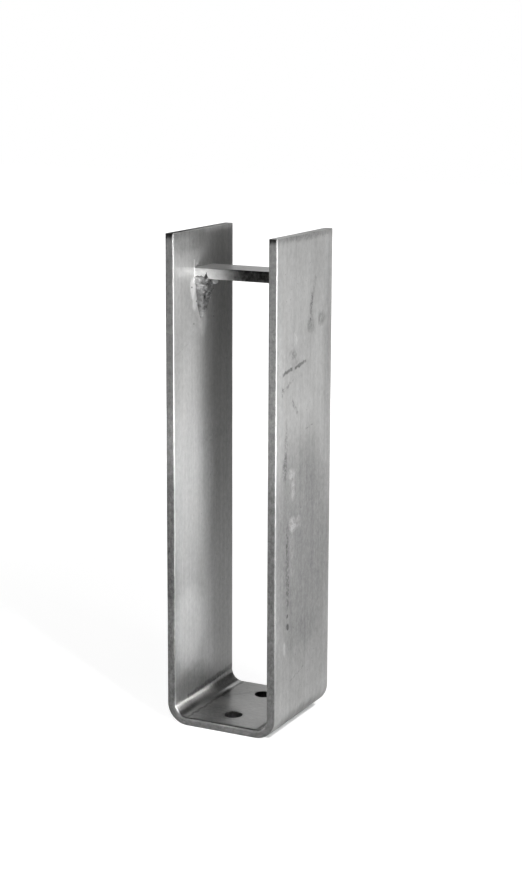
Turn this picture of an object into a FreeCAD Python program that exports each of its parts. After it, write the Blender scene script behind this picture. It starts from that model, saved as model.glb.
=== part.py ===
"""Timber post base: a U-shaped strap bent from flat bar, with a flat cross bar welded between its legs.

All sizes are in millimetres. The part stands on its base with the legs up.
X runs across the gap between the legs, Y runs along the width of the strap and Z points up.
The origin lies in the middle of the underside of the base.
"""
import FreeCAD, Part
import Sketcher
import math
import os

from FreeCAD import Placement, Rotation, Vector

# Driving dimensions: alias, value and meaning.
DIMENSIONS = [
    ("post_gap", 90, "clear gap between the legs, for a 90 mm post"),
    ("plate_thick", 8, "thickness of the flat bar that the strap is bent from"),
    ("strap_width", 110, "width of that flat bar"),
    ("leg_height", 436, "overall height of the legs, from the underside of the base"),
    ("bend_radius", 11, "inner radius of both bends"),
    ("rolled_edge", 1.2, "rounding of the long edges, as they left the rolling mill"),
    ("sheared_edge", 0.5, "broken edge round the sheared ends of the legs"),
    ("hole_dia", 16, "clearance holes in the base, for M14 bolts"),
    ("hole_spacing", 60, "distance between neighbouring holes, along the width of the strap"),
    ("hole_count", 2, "number of holes in the row"),
    ("hole_deburr", 0.5, "countersunk burr edge at both mouths of a hole"),
    ("bar_width", 34, "width of the cross bar, along the width of the strap"),
    ("bar_thick", 9.5, "thickness of the cross bar"),
    ("bar_below_top", 32.5, "from the ends of the legs down to the top of the cross bar"),
    ("bar_edge", 0.9, "rounding of the long edges of the cross bar"),
    ("weld_drop", 34, "how far the weld runs down the leg below the cross bar"),
    ("weld_reach", 9, "how far the weld reaches along the underside of the cross bar"),
    ("weld_taper", 0.6, "power by which the weld widens from its tip up to the bar"),
    ("weld_swell", 0.55, "power by which the weld thickens from its tip up to the bar"),
    ("weld_lean", 4, "how far the tip of the weld lies off the middle of the bar"),
    ("weld_tilt", 22, "tilt of the ripples, in degrees"),
    ("weld_ripples", 8, "number of ripples between the tip and the bar"),
    ("weld_ripple_depth", 0.08, "height of a ripple, as a share of the thickness of the weld"),
]

# Heights that several pieces share, worked out from the sheet.
BAR_UNDERSIDE = "(dims.leg_height - dims.bar_below_top - dims.bar_thick)"
BAR_MIDDLE = "(dims.leg_height - dims.bar_below_top - dims.bar_thick / 2)"
# A rounding stays clear of the middle of its wall.
STRAP_ROUND = "min(dims.rolled_edge; 0.45 * dims.plate_thick)"
BAR_ROUND = "min(dims.bar_edge; 0.45 * dims.bar_thick)"

# Sketcher's own numbers for the axes of a sketch and the points of a curve.
H_AXIS, V_AXIS = range(-1, -3, -1)
START, END, CENTRE = range(1, 4)

TOLERANCE = 1e-6


def fill_sheet(doc):
    """Make the spreadsheet of driving dimensions, one row each."""
    sheet = doc.addObject("Spreadsheet::Sheet", "dims")
    for row, (alias, value, meaning) in enumerate(DIMENSIONS, start=1):
        sheet.set(f"A{row}", meaning)
        sheet.set(f"B{row}", str(value))
        sheet.setAlias(f"B{row}", alias)
    doc.recompute()
    return sheet


def origin_feature(body, role):
    """The body's own origin plane or axis with this role."""
    return next(item for item in body.Origin.OriginFeatures if item.Role == role)


def new_sketch(body, name, role):
    """An empty sketch on one of the body's own origin planes."""
    sketch = body.newObject("Sketcher::SketchObject", name)
    sketch.AttachmentSupport = [(origin_feature(body, role), "")]
    sketch.MapMode = "FlatFace"
    return sketch


def size(sketch, name, expression, kind, *where):
    """Add a dimension to a sketch and bind it to the sheet."""
    value = float(sketch.evalExpression(expression))
    index = sketch.addConstraint(Sketcher.Constraint(kind, *where, value))
    sketch.renameConstraint(index, name)
    sketch.setExpression(f"Constraints.{name}", expression)


def relate(sketch, kind, *where):
    """Add a geometric constraint to a sketch."""
    sketch.addConstraint(Sketcher.Constraint(kind, *where))


def line(sketch, start, end):
    """Add a straight line between two (x, y) points and return its number."""
    return sketch.addGeometry(Part.LineSegment(Vector(*start, 0), Vector(*end, 0)))


def quarter(sketch, centre, radius, first_angle):
    """Add a quarter circle that runs on from first_angle, in degrees, and return its number."""
    circle = Part.Circle(Vector(*centre, 0), Vector(0, 0, 1), radius)
    start, end = math.radians(first_angle), math.radians(first_angle + 90)
    return sketch.addGeometry(Part.ArcOfCircle(circle, start, end))


def edges_where(feature, test):
    """Names of the feature's edges whose bounding box passes the test."""
    return [f"Edge{number}" for number, edge in enumerate(feature.Shape.Edges, start=1) if test(edge.BoundBox)]


def round_edges(body, name, kind, feature, edges, expression):
    """Dress the named edges of a feature with a fillet or chamfer bound to the sheet."""
    dress = body.newObject(f"PartDesign::{kind}", name)
    dress.Base = (feature, edges)
    dress.setExpression("Radius" if kind == "Fillet" else "Size", expression)
    body.Document.recompute()
    return dress


def draw_strap_profile(sketch, sheet):
    """Draw the bent strap seen along its width: two legs, two bends and the base."""
    thick, inner, height = sheet.plate_thick, sheet.bend_radius, sheet.leg_height
    outer = inner + thick
    half_gap = sheet.post_gap / 2
    half_span = half_gap + thick
    straight = half_gap - inner

    left_outside = line(sketch, (-half_span, height), (-half_span, outer))
    left_outer_bend = quarter(sketch, (-straight, outer), outer, 180)
    underside = line(sketch, (-straight, 0), (straight, 0))
    right_outer_bend = quarter(sketch, (straight, outer), outer, 270)
    right_outside = line(sketch, (half_span, outer), (half_span, height))
    right_end = line(sketch, (half_span, height), (half_gap, height))
    right_inside = line(sketch, (half_gap, height), (half_gap, outer))
    right_inner_bend = quarter(sketch, (straight, outer), inner, 270)
    floor = line(sketch, (straight, thick), (-straight, thick))
    left_inner_bend = quarter(sketch, (-straight, outer), inner, 180)
    left_inside = line(sketch, (-half_gap, outer), (-half_gap, height))
    left_end = line(sketch, (-half_gap, height), (-half_span, height))

    # Every bend runs smoothly into the leg and the base.
    relate(sketch, "Tangent", left_outside, END, left_outer_bend, START)
    relate(sketch, "Tangent", left_outer_bend, END, underside, START)
    relate(sketch, "Tangent", underside, END, right_outer_bend, START)
    relate(sketch, "Tangent", right_outer_bend, END, right_outside, START)
    relate(sketch, "Tangent", right_inside, END, right_inner_bend, END)
    relate(sketch, "Tangent", right_inner_bend, START, floor, START)
    relate(sketch, "Tangent", floor, END, left_inner_bend, END)
    relate(sketch, "Tangent", left_inner_bend, START, left_inside, START)

    # The ends of the legs close the outline.
    relate(sketch, "Coincident", right_outside, END, right_end, START)
    relate(sketch, "Coincident", right_end, END, right_inside, START)
    relate(sketch, "Coincident", left_inside, END, left_end, START)
    relate(sketch, "Coincident", left_end, END, left_outside, START)

    # Both faces of a bend share one centre, so the strap keeps its thickness.
    relate(sketch, "Coincident", left_outer_bend, CENTRE, left_inner_bend, CENTRE)
    relate(sketch, "Coincident", right_outer_bend, CENTRE, right_inner_bend, CENTRE)
    relate(sketch, "Equal", left_inner_bend, right_inner_bend)

    relate(sketch, "PointOnObject", underside, START, H_AXIS)
    for flat in (underside, floor, left_end, right_end):
        relate(sketch, "Horizontal", flat)
    for upright in (left_outside, left_inside, right_inside, right_outside):
        relate(sketch, "Vertical", upright)
    relate(sketch, "Symmetric", left_inside, END, right_inside, START, V_AXIS)

    size(sketch, "thickness", "dims.plate_thick", "DistanceX", left_outside, START, left_inside, END)
    size(sketch, "inner_radius", "dims.bend_radius", "Radius", left_inner_bend)
    size(sketch, "gap", "dims.post_gap", "DistanceX", left_inside, END, right_inside, START)
    size(sketch, "height", "dims.leg_height", "DistanceY", underside, START, left_outside, START)


def make_strap(doc, sheet):
    """Bend the strap, round its rolled edges and drill the holes of the base."""
    body = doc.addObject("PartDesign::Body", "u_strap")
    profile = new_sketch(body, "strap_profile", "XZ_Plane")
    draw_strap_profile(profile, sheet)

    bent = body.newObject("PartDesign::Pad", "bent_strap")
    bent.Profile = profile
    bent.SideType = "Symmetric"
    bent.setExpression("Length", "dims.strap_width")
    doc.recompute()

    def is_rolled_edge(box):
        """Runs along a face side of the strap, and not across the end of a leg."""
        on_side = abs(abs(box.YMin) - sheet.strap_width / 2) < TOLERANCE and box.YLength < TOLERANCE
        return on_side and box.ZMin < sheet.leg_height - TOLERANCE

    rolled = round_edges(body, "rolled_edges", "Fillet", bent, edges_where(bent, is_rolled_edge), STRAP_ROUND)

    def is_leg_end(box):
        """Lies in the sheared end of a leg."""
        return box.ZMin > sheet.leg_height - TOLERANCE

    sheared = round_edges(
        body, "sheared_ends", "Chamfer", rolled, edges_where(rolled, is_leg_end), "dims.sheared_edge"
    )

    centre = new_sketch(body, "hole_centre", "XY_Plane")
    centre.setExpression("AttachmentOffset.Base.z", "dims.plate_thick")
    circle = centre.addGeometry(Part.Circle(Vector(0, -sheet.hole_spacing / 2, 0), Vector(0, 0, 1), sheet.hole_dia / 2))
    relate(centre, "PointOnObject", circle, CENTRE, V_AXIS)
    size(centre, "bore", "dims.hole_dia", "Diameter", circle)
    first_hole = "dims.hole_spacing * (dims.hole_count - 1) / 2"
    size(centre, "from_middle", first_hole, "DistanceY", circle, CENTRE, H_AXIS, START)
    doc.recompute()

    drilled = body.newObject("PartDesign::Pocket", "drilled_hole")
    drilled.Profile = centre
    drilled.Type = "ThroughAll"
    doc.recompute()

    row = body.newObject("PartDesign::LinearPattern", "hole_row")
    row.Originals = [drilled]
    row.Direction = (origin_feature(body, "Y_Axis"), [""])
    row.setExpression("Length", "dims.hole_spacing * (dims.hole_count - 1)")
    row.setExpression("Occurrences", "dims.hole_count")
    body.Tip = row
    doc.recompute()

    def is_hole_mouth(box):
        """Is a circle of the holes' diameter, flat on a face of the base."""
        is_flat = box.ZLength < TOLERANCE and box.ZMax < sheet.plate_thick + TOLERANCE
        return is_flat and max(box.XLength, box.YLength) < sheet.hole_dia + TOLERANCE

    round_edges(body, "hole_mouths", "Chamfer", row, edges_where(row, is_hole_mouth), "dims.hole_deburr")
    return body


def make_cross_bar(doc, sheet):
    """Cut the cross bar to the gap, so that its ends butt against both legs."""
    body = doc.addObject("PartDesign::Body", "cross_bar")
    body.setExpression("Placement.Base.z", BAR_MIDDLE)

    section = new_sketch(body, "bar_section", "YZ_Plane")
    half_width, half_thick = sheet.bar_width / 2, sheet.bar_thick / 2
    corners = [
        (-half_width, -half_thick), (half_width, -half_thick), (half_width, half_thick), (-half_width, half_thick)
    ]
    sides = [line(section, corner, corners[(index + 1) % 4]) for index, corner in enumerate(corners)]
    for side, following in zip(sides, sides[1:] + sides[:1]):
        relate(section, "Coincident", side, END, following, START)
    bottom, back, top, front = sides
    for side in (bottom, top):
        relate(section, "Horizontal", side)
    for side in (back, front):
        relate(section, "Vertical", side)
    relate(section, "Symmetric", bottom, START, top, START, H_AXIS, START)
    size(section, "width", "dims.bar_width", "DistanceX", bottom, START, bottom, END)
    size(section, "thickness", "dims.bar_thick", "DistanceY", back, START, back, END)

    blank = body.newObject("PartDesign::Pad", "bar_blank")
    blank.Profile = section
    blank.SideType = "Symmetric"
    blank.setExpression("Length", "dims.post_gap")
    doc.recompute()

    def is_long_edge(box):
        """Runs the whole length of the bar."""
        return box.XLength > sheet.post_gap - TOLERANCE

    round_edges(body, "bar_edges", "Fillet", blank, edges_where(blank, is_long_edge), BAR_ROUND)
    return body


def draw_weld_section(sketch, width, reach):
    """Draw one section of the weld: a flat back on the leg and a bulging front.

    width and reach are expressions of the sheet.
    """
    half_width = float(sketch.evalExpression(width)) / 2
    bulge = float(sketch.evalExpression(reach))
    back = line(sketch, (0, half_width), (0, -half_width))
    front = sketch.addGeometry(Part.Arc(Vector(0, -half_width, 0), Vector(bulge, 0, 0), Vector(0, half_width, 0)))
    relate(sketch, "Coincident", back, END, front, START)
    relate(sketch, "Coincident", front, END, back, START)
    relate(sketch, "Symmetric", back, START, back, END, H_AXIS, START)
    relate(sketch, "Vertical", back)
    size(sketch, "width", width, "DistanceY", back, END, back, START)
    # The radius of an arc that stands this far off a chord of this width.
    size(sketch, "front_radius", f"({width}) ^ 2 / 8 / ({reach}) + ({reach}) / 2", "Radius", front)


def make_weld(doc, sheet, name, side):
    """Lay a weld under one end of the cross bar, on the leg at side -1 or +1.

    The weld starts as a narrow tip low on the leg and was weaved upwards, wider and thicker, to the bar.
    Each weave left one ripple: a crest and a valley, so the loft has two sections for each ripple.
    """
    body = doc.addObject("PartDesign::Body", name)
    facing = Rotation(Vector(0, 0, 1), 0 if side < 0 else 180)
    body.Placement = Placement(Vector(0, 0, 0), facing)
    body.setExpression("Placement.Base.x", f"{side} * dims.post_gap / 2")
    body.setExpression("Placement.Base.z", BAR_UNDERSIDE)

    full_width = "(dims.bar_width - 2 * dims.bar_edge)"
    steps = 2 * int(sheet.weld_ripples)
    # The sections are tilted, so the loft runs on above the bar until its last one clears the seat.
    clear_of_seat = sheet.bar_width / 2 * math.tan(math.radians(sheet.weld_tilt))
    above_bar = int(clear_of_seat / (sheet.weld_drop / steps)) + 1
    sections = []
    for step in range(1, steps + above_bar + 1):
        share = f"({step} / {steps})"
        ripple = f"(1 + dims.weld_ripple_depth * {1 if step % 2 else -1})"
        sketch = new_sketch(body, f"{name}_section_{step}", "XY_Plane")
        sketch.AttachmentOffset = Placement(Vector(0, 0, 0), Rotation(Vector(1, 0, 0), sheet.weld_tilt))
        sketch.setExpression("AttachmentOffset.Rotation.Angle", "dims.weld_tilt")
        sketch.setExpression("AttachmentOffset.Base.y", f"-dims.weld_lean * (1 - {share})")
        sketch.setExpression("AttachmentOffset.Base.z", f"-dims.weld_drop * (1 - {share})")
        width = f"{full_width} * min({share}; 1) ^ dims.weld_taper"
        reach = f"dims.weld_reach * min({share}; 1) ^ dims.weld_swell * {ripple}"
        draw_weld_section(sketch, width, reach)
        sections.append(sketch)
    doc.recompute()

    heap = body.newObject("PartDesign::AdditiveLoft", f"{name}_heap")
    heap.Profile = sections[0]
    heap.Sections = sections[1:]
    heap.Ruled = True
    doc.recompute()

    # What the loft holds above the underside of the bar is the bar's own place.
    above = new_sketch(body, f"{name}_above", "XY_Plane")
    cover = 2 * sheet.bar_width
    above.addGeometry(Part.Circle(Vector(0, 0, 0), Vector(0, 0, 1), cover))
    size(above, "cover", "2 * dims.bar_width", "Radius", 0)
    relate(above, "Coincident", 0, CENTRE, H_AXIS, START)
    doc.recompute()
    seat = body.newObject("PartDesign::Pocket", f"{name}_seat")
    seat.Profile = above
    seat.Type = "ThroughAll"
    seat.Reversed = True
    doc.recompute()
    return body


def check(doc, bodies):
    """Stop if any object failed or any sub-part isn't one valid solid."""
    for item in doc.Objects:
        if "Invalid" in item.State or "Error" in item.State:
            raise RuntimeError(f"{item.Name} failed: {item.State}")
        if item.TypeId == "Sketcher::SketchObject" and not item.FullyConstrained:
            raise RuntimeError(f"{item.Name} isn't fully constrained")
    for body in bodies:
        shape = body.Shape
        if shape.isNull() or not shape.isValid() or len(shape.Solids) != 1:
            raise RuntimeError(f"{body.Label} isn't one valid solid")


def main():
    doc = FreeCAD.newDocument("timber_post_base")
    sheet = fill_sheet(doc)
    bodies = [
        make_strap(doc, sheet),
        make_cross_bar(doc, sheet),
        make_weld(doc, sheet, "weld_left", -1),
        make_weld(doc, sheet, "weld_right", 1),
    ]
    doc.recompute()
    check(doc, bodies)
    os.makedirs("parts", exist_ok=True)
    for body in bodies:
        body.Shape.exportStep(f"parts/{body.Label}.step")
        box = body.Shape.optimalBoundingBox()
        print(f"{body.Label}: {body.Shape.Volume:.1f} mm3, {box.XLength:.2f} x {box.YLength:.2f} x {box.ZLength:.2f} mm")


main()
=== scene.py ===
"""Looks of a timber post base: a bent steel strap with a flat cross bar welded between its legs.

Everything is in metres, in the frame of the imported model: X runs across the gap between the
legs, Y runs along the width of the strap, Z points up, and the origin lies under the middle
of the base.
"""

import logging
import math
import random
from dataclasses import dataclass, field
from enum import Enum
from functools import partial
from typing import Any, Callable, Sequence

import bmesh
import bpy
from mathutils import Matrix, Vector, noise


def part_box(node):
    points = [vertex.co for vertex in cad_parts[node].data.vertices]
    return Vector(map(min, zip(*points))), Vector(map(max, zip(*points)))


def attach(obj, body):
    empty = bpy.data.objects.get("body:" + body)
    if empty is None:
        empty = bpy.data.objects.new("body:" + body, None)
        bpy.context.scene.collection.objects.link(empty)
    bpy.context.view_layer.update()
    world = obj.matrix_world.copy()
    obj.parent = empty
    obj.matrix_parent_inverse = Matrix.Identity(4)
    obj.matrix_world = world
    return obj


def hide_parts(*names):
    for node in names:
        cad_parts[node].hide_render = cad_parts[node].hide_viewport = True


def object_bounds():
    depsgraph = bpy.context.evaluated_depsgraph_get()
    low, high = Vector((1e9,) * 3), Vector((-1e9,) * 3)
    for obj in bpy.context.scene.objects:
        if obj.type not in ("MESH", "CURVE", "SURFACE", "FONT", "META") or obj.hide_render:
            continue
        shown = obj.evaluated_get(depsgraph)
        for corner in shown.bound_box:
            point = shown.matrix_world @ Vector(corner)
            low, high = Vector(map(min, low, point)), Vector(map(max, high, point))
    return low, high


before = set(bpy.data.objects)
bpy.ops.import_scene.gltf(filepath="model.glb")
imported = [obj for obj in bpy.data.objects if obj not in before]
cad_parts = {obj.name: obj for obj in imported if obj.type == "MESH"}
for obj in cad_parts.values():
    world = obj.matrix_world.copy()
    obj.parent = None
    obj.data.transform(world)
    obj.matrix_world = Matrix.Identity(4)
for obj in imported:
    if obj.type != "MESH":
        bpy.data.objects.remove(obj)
CAD_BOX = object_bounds()

LOG = logging.getLogger("post_base")
MM = 0.001
GRAIN_ATTRIBUTE = "rolled"
# Highlights spread along the default tangent, which runs round this point. It lies far off along X,
# so that they spread across the rolling lines, and off along Y, so that no face looks along them.
GRAIN_ORIGIN = (-1000.0, 200.0, 0.0)

Triple = tuple[float, float, float]


class Side(Enum):
    """The leg that a piece belongs to, as the sign of its X."""

    LEFT = -1
    RIGHT = 1


# ---------------------------------------------------------------- shader graph


class Signal:
    """A shader value that Python operators work on: each operation adds its node."""

    def __init__(self, graph: "Graph", socket: bpy.types.NodeSocket) -> None:
        """Wrap an output socket.

        Args:
            graph: the graph that new nodes go into.
            socket: the output that holds the value.
        """
        self.graph = graph
        self.socket = socket

    def _math(self, operation: str, *values: "Signal | float", clamp: bool = False) -> "Signal":
        """Add one Math node.

        Args:
            operation: the Math node's operation.
            values: its inputs in order.
            clamp: whether the result is held between 0 and 1.

        Returns:
            The node's result.
        """
        settings = {"operation": operation, "use_clamp": clamp}
        return self.graph.node("ShaderNodeMath", settings, dict(enumerate(values)))

    def __add__(self, other: "Signal | float") -> "Signal":
        """self + other."""
        return self._math("ADD", self, other)

    def __radd__(self, other: float) -> "Signal":
        """other + self."""
        return self._math("ADD", other, self)

    def __sub__(self, other: "Signal | float") -> "Signal":
        """self - other."""
        return self._math("SUBTRACT", self, other)

    def __rsub__(self, other: float) -> "Signal":
        """other - self."""
        return self._math("SUBTRACT", other, self)

    def __mul__(self, other: "Signal | float") -> "Signal":
        """self * other."""
        return self._math("MULTIPLY", self, other)

    def __rmul__(self, other: float) -> "Signal":
        """other * self."""
        return self._math("MULTIPLY", other, self)

    def __truediv__(self, other: "Signal | float") -> "Signal":
        """self / other."""
        return self._math("DIVIDE", self, other)

    def __rtruediv__(self, other: float) -> "Signal":
        """other / self."""
        return self._math("DIVIDE", other, self)

    def __pow__(self, other: float) -> "Signal":
        """self ** other."""
        return self._math("POWER", self, other)

    def __abs__(self) -> "Signal":
        """The value without its sign."""
        return self._math("ABSOLUTE", self)

    def above(self, edge: float) -> "Signal":
        """1 where the value is above edge, else 0."""
        return self._math("GREATER_THAN", self, edge)

    def clamped(self) -> "Signal":
        """The value held between 0 and 1."""
        return self._math("ADD", self, 0.0, clamp=True)

    def largest(self, other: "Signal | float") -> "Signal":
        """The larger of two values."""
        return self._math("MAXIMUM", self, other)

    def ramp(self, low: float, high: float) -> "Signal":
        """A smooth step from 0 at low to 1 at high; low may be the larger.

        Args:
            low: the value that gives 0.
            high: the value that gives 1.

        Returns:
            The step, between 0 and 1.
        """
        if low > high:
            return 1.0 - self.ramp(high, low)
        settings = {"interpolation_type": "SMOOTHSTEP"}
        inputs = {"Value": self, "From Min": low, "From Max": high}
        return self.graph.node("ShaderNodeMapRange", settings, inputs)


class Graph:
    """The node tree of one material or world."""

    def __init__(self, owner: bpy.types.Material | bpy.types.World) -> None:
        """Start with an empty tree.

        Args:
            owner: the material or the world that the tree belongs to.
        """
        self.owner = owner
        owner.use_nodes = True
        self.tree = owner.node_tree
        self.tree.nodes.clear()

    def add(self, kind: str, settings: dict[str, Any], inputs: dict[Any, Any]) -> bpy.types.Node:
        """Add one node.

        Args:
            kind: the node's type name.
            settings: attributes of the node, which are set first.
            inputs: values or signals by the name or number of the input.

        Returns:
            The node.
        """
        made = self.tree.nodes.new(kind)
        for name, value in settings.items():
            setattr(made, name, value)
        for name, value in inputs.items():
            if isinstance(value, Signal):
                self.tree.links.new(value.socket, made.inputs[name])
            else:
                made.inputs[name].default_value = value
        return made

    def node(self, kind: str, settings: dict[str, Any], inputs: dict[Any, Any], output: Any = 0) -> Signal:
        """Add one node and return the output of that name or number."""
        return Signal(self, self.add(kind, settings, inputs).outputs[output])

    def grain_coords(self) -> Signal:
        """Coordinates that follow the rolled bar: across its width, along its length, into its depth."""
        settings = {"attribute_type": "GEOMETRY", "attribute_name": GRAIN_ATTRIBUTE}
        return self.node("ShaderNodeAttribute", settings, {}, "Vector")

    def object_coords(self) -> Signal:
        """The piece's own coordinates in metres."""
        return self.node("ShaderNodeTexCoord", {}, {}, "Object")

    def axes(self, coords: Signal) -> tuple[Signal, Signal, Signal]:
        """Split coordinates into three numbers."""
        apart = self.add("ShaderNodeSeparateXYZ", {}, {0: coords})
        return tuple(Signal(self, output) for output in apart.outputs)

    def stretched(self, coords: Signal, scale: Sequence[float]) -> Signal:
        """Coordinates scaled by a different number along each axis."""
        return self.node("ShaderNodeVectorMath", {"operation": "MULTIPLY"}, {0: coords, 1: tuple(scale)})

    def turned(self, coords: Signal, angle: float) -> Signal:
        """Coordinates turned in the plane of the rolled face.

        Args:
            coords: the coordinates to turn.
            angle: the turn in degrees.

        Returns:
            The turned coordinates.
        """
        return self.node("ShaderNodeMapping", {}, {"Vector": coords, "Rotation": (0, 0, math.radians(angle))})

    def cloud(
        self, coords: Signal, scale: Sequence[float], detail: float = 3.0, roughness: float = 0.55
    ) -> Signal:
        """Noise from 0 to 1, about 0.5 on average.

        Args:
            coords: where the noise is read.
            scale: cells for each metre along each axis.
            detail: octaves of finer noise.
            roughness: how strong the finer octaves are.

        Returns:
            The noise.
        """
        place = self.stretched(coords, scale)
        inputs = {"Vector": place, "Scale": 1.0, "Detail": detail, "Roughness": roughness}
        return self.node("ShaderNodeTexNoise", {}, inputs, 0)

    def grains(self, coords: Signal, scale: Sequence[float]) -> Signal:
        """Distance to the nearest of many scattered points.

        Args:
            coords: where the distance is read.
            scale: points for each metre along each axis.

        Returns:
            The distance, in cells.
        """
        inputs = {"Vector": self.stretched(coords, scale), "Scale": 1.0}
        return self.node("ShaderNodeTexVoronoi", {"feature": "F1"}, inputs, "Distance")

    def tone(self, colour: Triple, factor: Signal) -> Signal:
        """A colour made lighter or darker by a number that varies over the surface.

        Args:
            colour: the colour at a factor of 1.
            factor: what the colour is multiplied by.

        Returns:
            The varied colour.
        """
        return self.node("ShaderNodeVectorMath", {"operation": "SCALE"}, {0: colour, "Scale": factor})

    def bump(self, height: Signal, distance: float) -> Signal:
        """A normal that follows a height.

        Args:
            height: the height, from 0 to 1.
            distance: metres between a height of 0 and 1.

        Returns:
            The bumped normal.
        """
        return self.node("ShaderNodeBump", {}, {"Height": height, "Distance": distance, "Strength": 1.0})

    def metal(
        self, colour: Signal, roughness: Any, normal: Signal, anisotropy: float = 0.0, bare: float = 1.0
    ) -> Signal:
        """A metal surface.

        Args:
            colour: the base colour.
            roughness: the roughness.
            normal: the bumped normal.
            anisotropy: how far highlights spread across the rolling lines.
            bare: the share that is bare metal; the rest is dull oxide.

        Returns:
            The surface.
        """
        inputs = {
            "Base Color": colour,
            "Roughness": roughness,
            "Normal": normal,
            "Metallic": bare,
            "Anisotropic": anisotropy,
        }
        return self.node("ShaderNodeBsdfPrincipled", {}, inputs)

    def layered(self, factor: Any, first: Signal, second: Signal) -> Signal:
        """A surface that is partly one surface and partly another."""
        return self.node("ShaderNodeMixShader", {}, {0: factor, 1: first, 2: second})

    def finish(self, surface: Signal) -> bpy.types.Material | bpy.types.World:
        """Link a surface to the tree's output.

        Args:
            surface: the surface, or a world's background.

        Returns:
            The finished material or world.
        """
        is_world = isinstance(self.owner, bpy.types.World)
        kind = "ShaderNodeOutputWorld" if is_world else "ShaderNodeOutputMaterial"
        self.add(kind, {}, {"Surface": surface})
        return self.owner


# ------------------------------------------------------------------- finishes


@dataclass(frozen=True)
class ScratchOrPaintedStreak:
    """A straight scratch on the strap, or a straight streak of painted light, from one point to another,
    both (across, along) in millimetres.
    """

    start: tuple[float, float]
    end: tuple[float, float]
    width: float
    shade: float
    broken: float = 1.0

    def mask(self, across: Signal, along: Signal) -> Signal:
        """1 on the scratch, fading to 0 at its edges.

        Args:
            across: place across the strap, in millimetres.
            along: place along the strap, in millimetres.

        Returns:
            The mask.
        """
        run = (self.end[0] - self.start[0], self.end[1] - self.start[1])
        length = math.hypot(*run)
        unit = (run[0] / length, run[1] / length)
        off_across = across - self.start[0]
        off_along = along - self.start[1]
        forward = off_across * unit[0] + off_along * unit[1]
        beside = abs(off_along * unit[0] - off_across * unit[1])
        past_ends = abs(forward - length / 2) - length / 2
        return past_ends.largest(beside).ramp(self.width, self.width * 0.3)


@dataclass(frozen=True)
class SmudgeOrPaintedLight:
    """A soft round or oval patch on the strap, which is either a real smudge or painted light and shade:
    its centre and half sizes (across, along) in millimetres.
    """

    centre: tuple[float, float]
    half_size: tuple[float, float]
    shade: float
    broken: float = 0.7

    def mask(self, across: Signal, along: Signal) -> Signal:
        """1 in the middle of the mark, fading to 0 at its edge.

        Args:
            across: place across the strap, in millimetres.
            along: place along the strap, in millimetres.

        Returns:
            The mask.
        """
        off_across = (across - self.centre[0]) / self.half_size[0]
        off_along = (along - self.centre[1]) / self.half_size[1]
        return (off_across * off_across + off_along * off_along).ramp(1.0, 0.15)


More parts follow.
